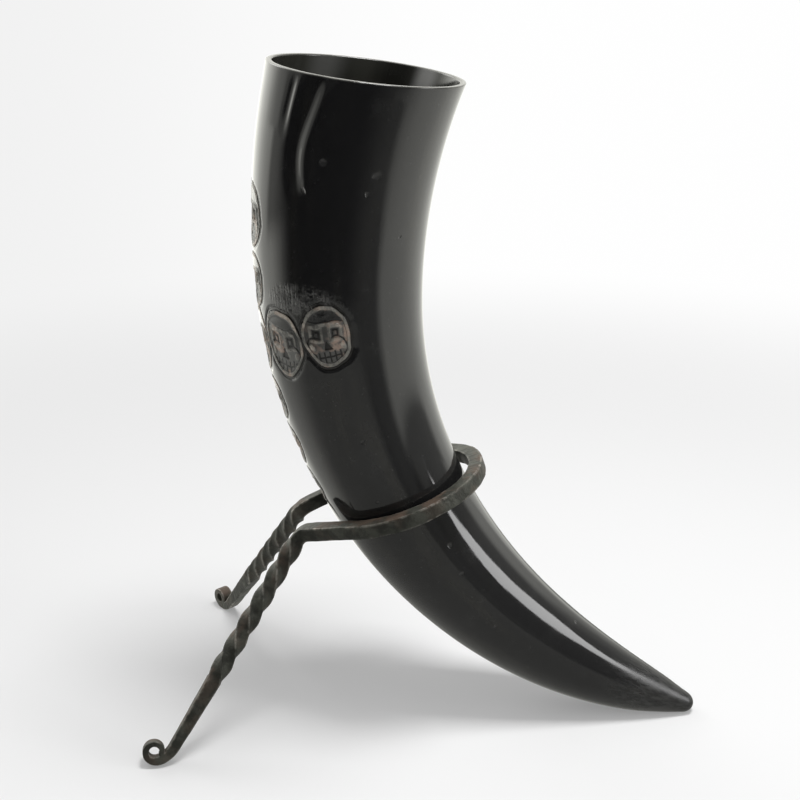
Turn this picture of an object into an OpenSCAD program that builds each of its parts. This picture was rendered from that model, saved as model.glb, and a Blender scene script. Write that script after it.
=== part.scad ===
// Drinking horn on a forged stand, in millimetres.
// The horn leans over the stand with its mouth up and its tip on the table.
// Up is +Z, the tip points to +X and the two legs of the stand to -X.

/* [Horn] */
// Outside diameter of the horn at its mouth, square to its middle line
mouth_d = 78.5; // [66:0.5:90]
// Length of the upper bend, from the rim down to the lower bend
upper_len = 100; // [85:1:120]
// Radius of the upper bend at the middle line
upper_bend_r = 270; // [230:1:350]
// Length of the lower bend, from the upper bend down to the tip
lower_len = 263; // [245:1:280]
// Radius of the lower bend at the middle line
lower_bend_r = 202; // [190:1:220]
// Lean of the middle line from upright where the two bends meet
meet_lean = 4; // [1:0.5:7]
// Slope of the rim, downward on the tip's side
rim_slope = 7; // [2:0.5:12]
// Thickness of the wall at the rim
rim_wall = 2.4; // [1.6:0.1:4]
// Thickness of the wall low down in the hollow
deep_wall = 5; // [3:0.1:7]
// Length of solid horn between the hollow and the tip
solid_len = 112; // [90:1:140]

/* [Stand] */
// Width of the square bar that the whole stand is forged from
bar = 6.6; // [4:0.1:7.4]
// Chamfer along the corners of the bar
bar_chamfer = 0.4; // [0.3:0.1:1.2]
// Height of the hoop along the horn, below the place where its bends meet
hoop_at = 88; // [80:1:96]
// Rise of the hoop toward the tip's side
hoop_tilt = 20; // [16:0.2:26]
// Room between the hoop and the horn at the sides
hoop_room = 1.75; // [1.2:0.1:3]
// Distance that the middle of the hoop stands off toward the tip's side
hoop_offset = 1.8; // [1:0.1:3]
// Turn of the hoop round the horn, from its front to where each arm leaves it
hoop_turn = 116; // [110:1:122]
// Length of the straight arm between the hoop and the left leg
left_arm_len = 36; // [28:0.5:38]
// Length of the straight arm between the hoop and the right leg
right_arm_len = 29.5; // [24:0.1:34]
// Radius of the bend between an arm and its leg
knee_r = 7; // [5:0.5:12]

/* [Legs] */
// Turn of the left leg away from the middle, seen from above
left_splay = 44.1; // [36:0.1:50]
// Turn of the right leg away from the middle, seen from above
right_splay = 44.4; // [36:0.1:50]
// Lean of the left leg from upright
left_lean = 40.1; // [34:0.1:46]
// Lean of the right leg from upright
right_lean = 39.8; // [34:0.1:46]
// Length of the twisted part of each leg
twist_len = 70; // [50:1:76]
// Twist of the left leg
left_twist = 595; // [360:5:720]
// Twist of the right leg
right_twist = 545; // [360:5:720]
// Flat of the bar that the left scroll rolls about, in quarter turns
left_flat = 1; // [0:1:3]
// Flat of the bar that the right scroll rolls about, in quarter turns
right_flat = 0; // [0:1:3]
// Thickness of the bar where it enters the scroll
scroll_bar = 4.8; // [3:0.1:5.6]
// Thickness of the bar at the end of the scroll
scroll_end_bar = 1.5; // [1.4:0.1:2.4]
// Width of the bar in the scroll
scroll_w = 6; // [5:0.1:8]
// Radius at the middle of the bar where the scroll starts
scroll_start_r = 15; // [9:0.5:18]
// Radius at the middle of the bar where the scroll is round
scroll_r = 4.1; // [4:0.1:6]
// Radius at the middle of the bar where the scroll ends
scroll_end_r = 3.8; // [3.4:0.1:4]
// Turn of the scroll from the leg to its end
scroll_turn = 300; // [250:5:310]

/* [Fit] */
// Depth of the flats worn under the tip and the feet
wear = 0.3; // [0.1:0.05:0.5]

/* [Hidden] */

// Part of the mouth's radius that the horn loses evenly on its way to the tip
even_taper_share = 0.406;
// How late and how bluntly the horn closes at its tip
tip_power = 4.27;
tip_blunt = 0.593;
// How late and how bluntly the hollow closes at its bottom
hollow_power = 9;
hollow_blunt = 0.5;

// Share of its turn in which the scroll settles to its round part
settled_share = 0.3;
// How quickly the bar thins along the scroll
thinning_power = 2.5;

// Rings and sides of the horn's skin and of its hollow
horn_rings = 46;
horn_sides = 48;
hollow_rings = 28;
hollow_sides = 40;
// Steps along a knee, a twist, a plain stretch, a scroll and the hoop
knee_steps = 8;
twist_steps = 44;
plain_steps = 6;
scroll_steps = 30;
hoop_steps = 62;

function deg(length, radius) = length / radius * 180 / PI;
function values(rings, i) = [for (ring = rings) for (p = ring) p[i]];
function unit(v) = v / norm(v);
// Vector v turned by angle a about the unit vector k
function turned(v, k, a) = v * cos(a) + cross(k, v) * sin(a) + k * (k * v) * (1 - cos(a));

// The horn's middle line. Station s counts from where the two bends meet, and grows to the tip
function bend_r(s) = s < 0 ? upper_bend_r : lower_bend_r;
function heading(s) = 90 - meet_lean - deg(s, bend_r(s));
function along(s) = [cos(heading(s)), 0, -sin(heading(s))];
function inward(s) = [sin(heading(s)), 0, cos(heading(s))];
// The horn is drawn out of the hoop by turning about the centre of its lower bend
function bend_centre(s) = inward(0) * bend_r(s);
function middle(s) = bend_centre(s) - inward(s) * bend_r(s);

horn_len = upper_len + lower_len;
hollow_len = horn_len - solid_len;
mouth_r = mouth_d / 2;
// The skin runs on past the rim by this much before the rim is cut
over_rim = mouth_r / 2;

// Radius of the skin and of the hollow at distance d from the rim
function skin_r(d) =
    let (t = max(d, 0) / horn_len)
    mouth_r * (1 - even_taper_share * d / horn_len) * pow(1 - pow(t, tip_power), tip_blunt);
function wall(d) = rim_wall + (deep_wall - rim_wall) * max(d, 0) / hollow_len;
function hollow_r(d) =
    (skin_r(d) - wall(d)) * pow(1 - pow(max(d, 0) / hollow_len, hollow_power), hollow_blunt);

function circle_ring(d, r, sides) =
    let (s = d - upper_len)
    [for (i = [0 : sides - 1])
        middle(s) + inward(s) * r * cos(360 * i / sides) + [0, -r * sin(360 * i / sides), 0]];
// Distances from the rim, closer together toward the far end
function spread(length, count) =
    concat([-over_rim], [for (i = [0 : count - 1]) length * sin(90 * i / count)]);
skin_rings = [for (d = spread(horn_len, horn_rings)) circle_ring(d, skin_r(d), horn_sides)];
hollow_skin = [for (d = spread(hollow_len, hollow_rings)) circle_ring(d, hollow_r(d), hollow_sides)];

ground_z = min(values(skin_rings, 2)) + wear;

// The hoop lies in a tilted plane with its own axes: forward to the tip's side, and normal
hoop_forward = [cos(hoop_tilt), 0, sin(hoop_tilt)];
hoop_normal = [-sin(hoop_tilt), 0, cos(hoop_tilt)];
hoop_r = skin_r(upper_len + hoop_at) + hoop_room + bar / 2;
hoop_centre = middle(hoop_at) + hoop_forward * hoop_offset;
// Side is 1 for the left leg, at +Y, and -1 for the right leg
function in_hoop(forward, across, side) = hoop_forward * forward + [0, side * across, 0];
function arm_along(side) = in_hoop(-sin(hoop_turn), cos(hoop_turn), side);
function arm_len(side) = side > 0 ? left_arm_len : right_arm_len;
function arm_end(side) =
    hoop_centre
    + in_hoop(cos(hoop_turn), sin(hoop_turn), side) * hoop_r
    + arm_along(side) * arm_len(side);

// A leg runs straight in this direction
function lean(side) = side > 0 ? left_lean : right_lean;
function leg_along(side) =
    let (splay = side > 0 ? left_splay : right_splay)
    [-cos(splay) * sin(lean(side)), side * sin(splay) * sin(lean(side)), -cos(lean(side))];
function knee_axis(side) = unit(cross(arm_along(side), leg_along(side)));
function knee_turn(side) = acos(arm_along(side) * leg_along(side));

// A station of the bar holds its middle, its direction, its flat side's direction, width and depth
function knee_station(side, a) =
    let (
        axis = knee_axis(side),
        spoke = cross(axis, arm_along(side)),
        flat = side > 0 ? left_flat : right_flat,
        across = turned(unit(cross(hoop_normal, arm_along(side))), arm_along(side), 90 * flat)
    )
    [
        arm_end(side) + (spoke - turned(spoke, axis, a)) * knee_r,
        turned(arm_along(side), axis, a),
        turned(across, axis, a),
        bar,
        bar
    ];
function knee_end(side) = knee_station(side, knee_turn(side));
function twist_total(side) = side > 0 ? left_twist : right_twist;
// The flat side's direction after distance d of the twist, which is left-handed
function twisted_side(side, d) =
    turned(knee_end(side)[2], leg_along(side), -twist_total(side) * d / twist_len);

// The scroll starts at point p and rolls about the bar's flat side
function roll_r(share) =
    scroll_r
    + (scroll_end_r - scroll_r) * share
    + (scroll_start_r - scroll_r) * pow(1 - min(1, share / settled_share), 2);
function roll_bar(share) =
    scroll_end_bar + (scroll_bar - scroll_end_bar) * pow(1 - share, thinning_power);
function scroll_stations(side, p) =
    let (axis = twisted_side(side, twist_len), step = scroll_turn / scroll_steps)
    [for (
        i = 0, here = p, dir = leg_along(side);
        i <= scroll_steps;
        here = here
            + turned(dir, axis, step / 2) * roll_r(i / scroll_steps) * 2 * sin(step / 2),
        dir = turned(dir, axis, step),
        i = i + 1
    ) [here, dir, axis, scroll_w, roll_bar(i / scroll_steps)]];

// The corners of the bar at one station
function bar_ring(station) =
    let (
        across = station[2],
        deep = cross(station[1], across),
        w = station[3] / 2,
        h = station[4] / 2,
        c = bar_chamfer
    )
    [for (q = [[w, h - c], [w - c, h], [c - w, h], [-w, h - c], [-w, c - h], [c - w, -h],
        [w - c, -h], [w, c - h]]) station[0] + across * q[0] + deep * q[1]];
function bar_rings(stations) = [for (station = stations) bar_ring(station)];

// The bar runs from the right arm's end round the hoop to the left arm's end
hoop_stations = concat(
    [[arm_end(-1), -arm_along(-1), hoop_normal, bar, bar]],
    [for (i = [0 : hoop_steps])
        let (a = hoop_turn * (2 * i / hoop_steps - 1))
        [
            hoop_centre + in_hoop(cos(a), sin(a), 1) * hoop_r,
            in_hoop(-sin(a), cos(a), 1),
            hoop_normal,
            bar,
            bar
        ]],
    [[arm_end(1), arm_along(1), hoop_normal, bar, bar]]
);

// The plain stretch is as long as the foot needs to stand on the ground
function scroll_drop(side) = -min(values(bar_rings(scroll_stations(side, [0, 0, 0])), 2));
function leg_len(side) =
    (knee_end(side)[0][2] - scroll_drop(side) - ground_z + wear) / cos(lean(side));
function leg_point(side, d) = knee_end(side)[0] + leg_along(side) * d;
function leg_stations(side) =
    let (plain_len = leg_len(side) - twist_len)
    concat(
        [for (i = [0 : knee_steps - 1]) knee_station(side, knee_turn(side) * i / knee_steps)],
        [for (i = [0 : twist_steps])
            let (d = twist_len * i / twist_steps)
            [leg_point(side, d), leg_along(side), twisted_side(side, d), bar, bar]],
        [for (i = [1 : plain_steps])
            let (share = i / plain_steps)
            [
                leg_point(side, twist_len + plain_len * share),
                leg_along(side),
                twisted_side(side, twist_len),
                bar + (scroll_w - bar) * share,
                bar + (scroll_bar - bar) * share
            ]]
    );
function foot_stations(side) = scroll_stations(side, leg_point(side, leg_len(side)));

left_foot_rings = bar_rings(foot_stations(1));
right_foot_rings = bar_rings(foot_stations(-1));
feet_rings = concat(left_foot_rings, right_foot_rings);
mid_x = (min(values(feet_rings, 0)) + max(values(skin_rings, 0))) / 2;
mid_y = (min(values(feet_rings, 1)) + max(values(feet_rings, 1))) / 2;
origin_at = [mid_x, mid_y, ground_z];
// Anything larger than the whole object, for cutting below the ground and above the rim
vast = horn_len * 2;

// A closed skin over rings that have the same number of points
module skin(rings) {
    n = len(rings[0]);
    last = len(rings) - 1;
    polyhedron(
        points = [for (ring = rings) for (p = ring) p],
        faces = concat(
            [[for (i = [0 : n - 1]) i]],
            [[for (i = [n - 1 : -1 : 0]) last * n + i]],
            [for (j = [0 : last - 1]) for (i = [0 : n - 1])
                let (a = j * n + i, b = j * n + (i + 1) % n)
                [a, a + n, b]],
            [for (j = [0 : last - 1]) for (i = [0 : n - 1])
                let (a = j * n + i, b = j * n + (i + 1) % n)
                [b, a + n, b + n]]
        )
    );
}

module above_ground() {
    difference() {
        children();
        translate([-vast / 2, -vast / 2, ground_z - vast])
            cube([vast, vast, vast]);
    }
}

module at_origin() {
    translate(-origin_at)
        children();
}

module horn() {
    color([0.05, 0.05, 0.055])
        at_origin()
            above_ground()
                difference() {
                    skin(skin_rings);
                    skin(hollow_skin);
                    translate(middle(-upper_len))
                        rotate([0, rim_slope, 0])
                            translate([-vast / 2, -vast / 2, 0])
                                cube([vast, vast, vast]);
                }
}

module hoop() {
    color([0.17, 0.16, 0.14])
        at_origin()
            skin(bar_rings(hoop_stations));
}

module leg(side) {
    color([0.17, 0.16, 0.14])
        at_origin()
            skin(bar_rings(leg_stations(side)));
}

module left_leg() {
    leg(1);
}

module right_leg() {
    leg(-1);
}

module scroll_foot(rings) {
    color([0.17, 0.16, 0.14])
        at_origin()
            above_ground()
                skin(rings);
}

module left_scroll_foot() {
    scroll_foot(left_foot_rings);
}

module right_scroll_foot() {
    scroll_foot(right_foot_rings);
}

horn();
hoop();
left_leg();
right_leg();
left_scroll_foot();
right_scroll_foot();
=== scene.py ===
"""Builds a carved black drinking horn and its forged iron stand around the packed model."""

from math import acos, cos, degrees, pi, radians, sin

import bmesh
import bpy
import numpy as np
from bpy.props import FloatProperty, FloatVectorProperty, IntProperty, PointerProperty
from mathutils import Matrix, Vector, noise


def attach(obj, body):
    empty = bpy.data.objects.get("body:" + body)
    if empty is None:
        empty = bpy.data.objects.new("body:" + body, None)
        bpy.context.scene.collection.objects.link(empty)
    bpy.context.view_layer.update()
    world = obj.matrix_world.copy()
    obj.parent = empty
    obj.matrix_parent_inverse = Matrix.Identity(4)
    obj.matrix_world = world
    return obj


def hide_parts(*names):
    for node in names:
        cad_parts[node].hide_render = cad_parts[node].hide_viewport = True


bl_info = {
    "name": "Drinking Horn on a Forged Stand",
    "version": (1, 0, 0),
    "blender": (4, 5, 0),
    "location": "3D View > Sidebar > Drinking Horn",
    "description": "Builds a carved drinking horn, its twisted iron stand and a plain stage",
    "category": "Add Mesh",
}

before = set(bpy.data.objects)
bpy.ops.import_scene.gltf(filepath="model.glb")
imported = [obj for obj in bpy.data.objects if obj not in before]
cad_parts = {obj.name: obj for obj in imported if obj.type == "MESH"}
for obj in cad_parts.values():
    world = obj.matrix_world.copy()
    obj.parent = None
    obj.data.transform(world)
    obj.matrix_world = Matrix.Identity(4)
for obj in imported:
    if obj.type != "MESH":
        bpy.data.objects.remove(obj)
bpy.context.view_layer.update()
MM = 0.001
UP_Y = Vector((0, 1, 0))


# Sizes and colours

def length(name, description, default, **more):
    return FloatProperty(name=name, description=description, default=default * MM,
                         unit="LENGTH", precision=5, **more)


def angle(name, description, default):
    return FloatProperty(name=name, description=description, default=radians(default),
                         unit="ROTATION", subtype="ANGLE")


def share(name, description, default):
    return FloatProperty(name=name, description=description, default=default,
                         min=0, max=1, subtype="FACTOR")


def number(name, description, default):
    return FloatProperty(name=name, description=description, default=default)


def colour(name, description, default):
    return FloatVectorProperty(name=name, description=description, default=default,
                               size=3, min=0, max=1, subtype="COLOR")


class HornSizes(bpy.types.PropertyGroup):
    """The sizes and colours of the horn"""
    mouth_radius: length("Mouth radius", "From the middle of the mouth to the skin", 39.25)
    upper_length: length("Upper length", "Along the upper bend, from the rim", 100)
    upper_bend: length("Upper bend", "Radius of the upper bend", 270)
    lower_length: length("Lower length", "Along the lower bend, to the tip", 263)
    lower_bend: length("Lower bend", "Radius of the lower bend", 202)
    meet_lean: angle("Lean", "Lean of the horn where its two bends meet", 4)
    rim_slope: angle("Rim slope", "Slope of the rim's plane, down toward the tip", 7)
    rim_wall: length("Rim wall", "Thickness of the wall at the rim", 2.4)
    deep_wall: length("Deep wall", "Thickness of the wall at the hollow's bottom", 5)
    solid_length: length("Solid length", "Length of the solid tip", 112)
    even_taper: share("Even taper", "How much the horn tapers evenly", 0.406)
    tip_power: number("Tip power", "How late the tip closes", 4.27)
    tip_blunt: number("Tip bluntness", "How bluntly the tip closes", 0.593)
    tip_nose: length("Tip nose", "Radius of the worn round end of the tip", 4.2)
    hollow_power: number("Hollow power", "How late the hollow closes", 9)
    lip_round: length("Lip rounding", "Rounding of the rim's two edges", 0.55)
    columns: IntProperty(name="Columns", description="Faces round the horn", default=214,
                         min=24)
    pull: share("Pull", "How much closer the faces stand on the carved side", 0.47)
    wave_depth: length("Wave depth", "Depth of the uneven places in the polished skin", 0.2)
    dent_depth: length("Dent depth", "Depth of the long hollow below the rim", 1.1)
    cross_turn: angle("Cross turn", "Turn of the carved cross from the outer line", 21)
    groove_depth: length("Groove depth", "Depth of the line cut round each oval", 0.36)
    field_depth: length("Field depth", "Depth to which the ovals are sunk", 0.6)
    black: colour("Black", "The polished skin", (0.0118, 0.0118, 0.0122))
    smoky: colour("Smoky", "The paler streaks in the skin", (0.019, 0.0185, 0.017))
    carved_tan: colour("Carved tan", "The cut horn in the ovals", (0.34, 0.25, 0.195))
    carved_edge: colour("Carved edge", "Raised lines of the carving", (0.42, 0.37, 0.31))
    carved_grey: colour("Carved grey", "Stained cut horn", (0.105, 0.105, 0.096))
    rim_pale: colour("Pale rim", "The cut edge of the wall", (0.06, 0.058, 0.052))
    inner_dark: colour("Inner dark", "The bored inner wall", (0.014, 0.014, 0.012))
    inner_pale: colour("Inner pale", "Paler stretches of the inner wall", (0.04, 0.04, 0.034))
    # The colour of the painted reflections down the far side of the bore
    inner_painted_glint: colour("Inner streaks", "Streaks down the far side of the inner wall",
                         (0.26, 0.26, 0.25))
    dust: colour("Dust", "Dust, haze and small nicks on the skin", (0.12, 0.12, 0.115))
    smoked: colour("Smoked", "The darkened end of one oval", (0.03, 0.031, 0.028))
    stained_edge: colour("Stained edge", "Raised lines of the carving where it is stained",
                         (0.16, 0.162, 0.145))
    cut_line: colour("Cut line", "The deepest lines of the carving", (0.012, 0.011, 0.010))
    rough_patch: colour("Rough patch", "The scratches above the ovals",
                        (0.11, 0.108, 0.103))


class StandSizes(bpy.types.PropertyGroup):
    """The sizes and colours of the forged stand"""
    bar: length("Bar", "Side of the square bar", 6.6)
    corner: number("Corner", "How square the bar's corners are", 13)
    hoop_at: length("Hoop place", "Along the lower bend, from where the bends meet", 88)
    hoop_tilt: angle("Hoop tilt", "Tilt of the hoop's plane", 20)
    hoop_room: length("Hoop room", "Room between the horn and the hoop", 1.75)
    hoop_offset: length("Hoop offset", "The hoop's middle, forward of the horn's", 1.8)
    hoop_turn: angle("Hoop turn", "Half of the hoop's turn", 116)
    left_arm: length("Left arm", "From the hoop to the left knee", 36)
    right_arm: length("Right arm", "From the hoop to the right knee", 29.5)
    knee_radius: length("Knee radius", "Radius of the knees", 7)
    left_splay: angle("Left splay", "Direction of the left leg, seen from above", 44.1)
    right_splay: angle("Right splay", "Direction of the right leg, seen from above", 44.4)
    left_lean: angle("Left lean", "Lean of the left leg", 40.1)
    right_lean: angle("Right lean", "Lean of the right leg", 39.8)
    left_length: length("Left leg", "From the knee to the left scroll", 101.937)
    right_length: length("Right leg", "From the knee to the right scroll", 102.625)
    twist_length: length("Twist length", "Length of the twisted stretch", 70)
    left_twist: angle("Left twist", "Turn of the left twist", 595)
    right_twist: angle("Right twist", "Turn of the right twist", 545)
    scroll_bar: length("Scroll bar", "Thickness of the bar where the scroll starts", 4.8)
    scroll_end_bar: length("Scroll end", "Thickness of the bar where it ends", 1.5)
    scroll_thicker: length("Scroll thickening", "What the bar gains inside the scroll", 0.8)
    scroll_width: length("Scroll width", "Width of the bar along the scroll", 6)
    scroll_start_radius: length("Scroll start radius", "Radius where the scroll starts", 15)
    scroll_radius: length("Scroll radius", "Radius of the scroll's round part", 4.1)
    scroll_end_radius: length("Scroll end radius", "Radius where the scroll ends", 3.8)
    scroll_turn: angle("Scroll turn", "Turn of the scroll", 300)
    hammer_depth: length("Hammer depth", "Depth of the hammer's marks", 0.34)
    iron: colour("Iron", "Forge-blackened iron", (0.0245, 0.0256, 0.0195))
    scale: colour("Scale", "Greyer scale left by the fire", (0.058, 0.060, 0.048))
    # Rust colour. Laid heavier on upward faces, it is partly painted top light
    rust: colour("Rust", "Brown bloom on the upper faces", (0.095, 0.060, 0.041))
    bright: colour("Worn iron", "Edges that handling has worn", (0.36, 0.345, 0.31))


class StageSizes(bpy.types.PropertyGroup):
    """The floor, the lamps and the camera"""
    azimuth: angle("Azimuth", "The camera's turn round the horn", 6.92)
    elevation: angle("Elevation", "The camera's height as an angle", 20.781)
    distance: length("Distance", "From the camera to what it looks at", 540.218)
    aim_x: length("Aim forward", "What the camera looks at", -13.993)
    aim_z: length("Aim height", "What the camera looks at", 147.518)
    lens: FloatProperty(name="Lens", description="Focal length", default=56.01,
                        unit="CAMERA")
    floor_size: length("Floor size", "Half of the floor's side", 9000)
    floor: colour("Floor", "The pale floor on the right", (0.74, 0.74, 0.74))
    floor_left: colour("Floor left", "The pale floor on the left", (0.77, 0.77, 0.77))
    backdrop: colour("Backdrop", "The room behind on the right", (0.995, 0.995, 0.995))
    backdrop_left: colour("Backdrop left", "The room behind on the left", (0.88, 0.88, 0.88))
    room_front: share("Front of the room", "Brightness behind the camera", 0.06)
    fill: share("Fill", "Light that comes from everywhere", 0.34)


# The horn's form

class HornForm:
    """The horn's middle line and radii, worked out from its sizes"""

    # The packed frame's origin, seen from where the two bends meet
    origin = np.array((39.1413, 0.112081, -188.064)) * MM
    rim_passes = 6

    def __init__(self, sizes):
        self.sizes = sizes
        self.full = sizes.upper_length + sizes.lower_length
        self.hollow = self.full - sizes.solid_length
        self.heading_0 = pi / 2 - sizes.meet_lean

    def bend(self, d):
        """Radius of the bend at distance d from the rim"""
        return np.where(d < self.sizes.upper_length, self.sizes.upper_bend,
                        self.sizes.lower_bend)

    def heading(self, d):
        """Angle of the middle line at distance d from the rim"""
        return self.heading_0 - (d - self.sizes.upper_length) / self.bend(d)

    def centre(self, d):
        """Centre of the bend at distance d from the rim, in the packed frame"""
        r = self.bend(d)
        return np.stack([sin(self.heading_0) * r, 0 * r, cos(self.heading_0) * r],
                        -1) - self.origin

    def place(self, d, turn, reach):
        """Points at distance d from the rim, turned from the outer line, off the middle line"""
        h = self.heading(d)
        back = self.bend(d) + reach * np.cos(turn)
        away = np.stack([np.sin(h) * back, reach * np.sin(turn), np.cos(h) * back], -1)
        return self.centre(d) - away

    def read(self, points):
        """The distance from the rim, turn and reach of points, the reverse of place"""
        lean = np.array((cos(self.heading_0), 0, -sin(self.heading_0)))
        low = (points + self.origin) @ lean > 0
        some = self.sizes.upper_length + np.where(low, 1.0, -1.0)
        away = self.centre(some) - points
        r = self.bend(some)
        h = np.arctan2(away[:, 0], away[:, 2])
        d = self.sizes.upper_length + (self.heading_0 - h) * r
        out = np.hypot(away[:, 0], away[:, 2]) - r
        return d, np.arctan2(away[:, 1], out), np.hypot(out, away[:, 1])

    def skin(self, d):
        """Radius of the outside, which ends in the worn nose of the tip"""
        t = np.clip(d / self.full, 0, 1)
        s = self.sizes
        taper = (s.mouth_radius * (1 - s.even_taper * d / self.full)
                 * (1 - t ** s.tip_power) ** s.tip_blunt)
        left = np.clip(self.full - d, 0, s.tip_nose)
        nose = np.sqrt(np.clip(2 * s.tip_nose * left - left ** 2, 0, None))
        return (taper ** 4 + nose ** 4) ** 0.25

    def wall(self, d):
        """Thickness of the wall, which grows down to the hollow's bottom"""
        s = self.sizes
        return s.rim_wall + (s.deep_wall - s.rim_wall) * np.clip(d / self.hollow, 0, 1)

    def bore(self, d):
        """Radius of the hollow"""
        t = np.clip(d / self.hollow, 0, 1)
        return (self.skin(d) - self.wall(d)) * (1 - t ** self.sizes.hollow_power) ** 0.5

    def rim_shift(self, turn, reach):
        """How far down the middle line the sloping rim cuts a line along the skin"""
        slope = self.sizes.rim_slope
        up = np.array((sin(slope), 0, cos(slope)))
        start = self.place(np.zeros(1), np.zeros(1), np.zeros(1))
        d = np.zeros_like(turn)
        for _ in range(self.rim_passes):
            d = d + (self.place(d, turn, reach(d)) - start) @ up
        return d


# The carved cross in millimetres: distance from the rim, offset from its middle line,
# half width and half height of each oval
COLUMN_OVALS = [(60, 0, 11.6, 12.2), (84, 0, 10.6, 10.8), (107, -0.6, 9.6, 12.8),
                (130.4, 0, 9.4, 9.2), (149.4, 0, 9, 9), (167.4, 0, 8.4, 8.2)]
ARM_OVALS = [(107, -42.5, 9.8, 12.8), (106.5, -21.2, 9.8, 12.8),
             (105.4, 19.6, 10.9, 13.6), (101.6, 41.2, 10.6, 13.6)]
OVALS = np.array(COLUMN_OVALS + ARM_OVALS) * MM

# A skull's features in its oval: across from its middle line, and up
EYE, EYE_FLAT = (0.38, 0.07), 1.1
CHEEK, JAW = (0.62, -0.34), (0.5, -0.32)
BROW_UP, BROW_BOW, MOUTH_UP = 0.38, 0.3, -0.64

# Nicks in the polished skin: distance from the rim, turn in degrees, radius in millimetres
NICKS = [(44, 75, 1.5), (32, 85, 1.9), (42, 113, 1.0), (34, 117, 2.2), (61, 140, 1.2),
         (150, 97, 1.1), (178, 88, 0.9), (214, 120, 1.4), (228, 112, 1.0), (258, 96, 0.8),
         (72, -118, 1.5), (128, -140, 1.1), (171, -95, 1.3), (236, -60, 1.1), (292, 165, 0.8)]

# In the grain's coordinates, in metres: the darkened end of an oval, and for each painted
# reflection of the lit wall down the bore, its place across, its core, its reach and its
# strength
SMOKED_SPOT = (0.0088, 0.0328, 0.098)
BORE_PAINTED_GLINTS = (((-0.0215, -0.0292, 0.0), 0.0015, 0.008, 1.0),
                ((0.0205, -0.0300, 0.0), 0.001, 0.012, 0.35))


def smooth(low, high, x):
    """Rises smoothly from 0 at low to 1 at high, or falls where high is the smaller"""
    t = np.clip((x - low) / (high - low), 0, 1)
    return t * t * (3 - 2 * t)


def oval_coordinates(d, arc):
    """The place of each point in its nearest oval: across and up, 1 at the oval's edge"""
    across = (arc[:, None] - OVALS[:, 1]) / OVALS[:, 2]
    up = (OVALS[:, 0] - d[:, None]) / OVALS[:, 3]
    nearest = np.argmin(np.hypot(across, up), 1)
    rows = np.arange(len(d))
    return *hand_cut(across[rows, nearest], up[rows, nearest], nearest), nearest


def hand_cut(across, up, oval):
    """Lets the carved lines wander a little, differently in each oval"""
    return (across + 0.035 * np.sin(4.7 * up + 2.3 * oval) + 0.07 * up * np.sin(2.1 * oval)
            + 0.008 * np.sin(13 * up + 1.9 * oval),
            up + 0.035 * np.sin(4.3 * across + 1.7 * oval) - 0.07 * across * np.sin(2.1 * oval)
            + 0.008 * np.sin(12 * across + 0.7 * oval))


def face_depth(across, up):
    """How far each point of a skull's face is sunk, as a share of the field's depth"""
    side = np.abs(across)
    crown = smooth(0.36, 0.46, up)
    box = np.maximum(np.abs(side - EYE[0]), np.abs(up - EYE[1]) * EYE_FLAT)
    eye = smooth(0.23, 0.17, box)
    pupil = smooth(0.12, 0.06, box)
    socket = smooth(0.17, 0.21, box) * smooth(0.33, 0.28, box)
    brow = smooth(0.10, 0.05, np.abs(up - BROW_UP + side * side * BROW_BOW)) \
        * smooth(0.7, 0.62, side)
    nose = smooth(0.05, -0.03, side - 0.2 * np.clip((-0.1 - up) / 0.3, 0, 1)) \
        * smooth(-0.08, -0.14, up) * smooth(-0.46, -0.40, up)
    mouth = smooth(0.52, 0.46, side) * smooth(0.19, 0.14, np.abs(up - MOUTH_UP))
    cheek = smooth(0.17, 0.05, np.hypot(side - CHEEK[0], up - CHEEK[1]))
    sunk = 0.85 + 0.6 * eye - 0.5 * pupil + 0.8 * nose + 0.25 * mouth \
        - 0.45 * socket - 0.5 * brow - 0.5 * cheek
    return np.clip(sunk, 0, 2) * (1 - 0.85 * crown)


# Shared mesh work

def smooth_mesh(bm, name):
    """Turns finished mesh work into an object with smooth faces that point outwards"""
    bmesh.ops.recalc_face_normals(bm, faces=bm.faces)
    mesh = bpy.data.meshes.new(name)
    bm.to_mesh(mesh)
    bm.free()
    mesh.shade_smooth()
    piece = bpy.data.objects.new(name, mesh)
    bpy.context.collection.objects.link(piece)
    return piece


def points_of(mesh):
    """The mesh's points as rows of x, y and z"""
    flat = np.empty(len(mesh.vertices) * 3)
    mesh.vertices.foreach_get("co", flat)
    return flat.reshape(-1, 3)


def write_attribute(mesh, name, values):
    """Keeps a number or a vector for each point, for a finish to read"""
    kind = "FLOAT" if values.ndim == 1 else "FLOAT_VECTOR"
    layer = mesh.attributes.new(name, kind, "POINT")
    layer.data.foreach_set("value" if kind == "FLOAT" else "vector",
                           values.astype(np.float32).ravel())


def made_parts(result, kind):
    """What an extrusion made, of one kind"""
    return [part for part in result["geom"] if isinstance(part, kind)]


# Finishes

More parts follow.
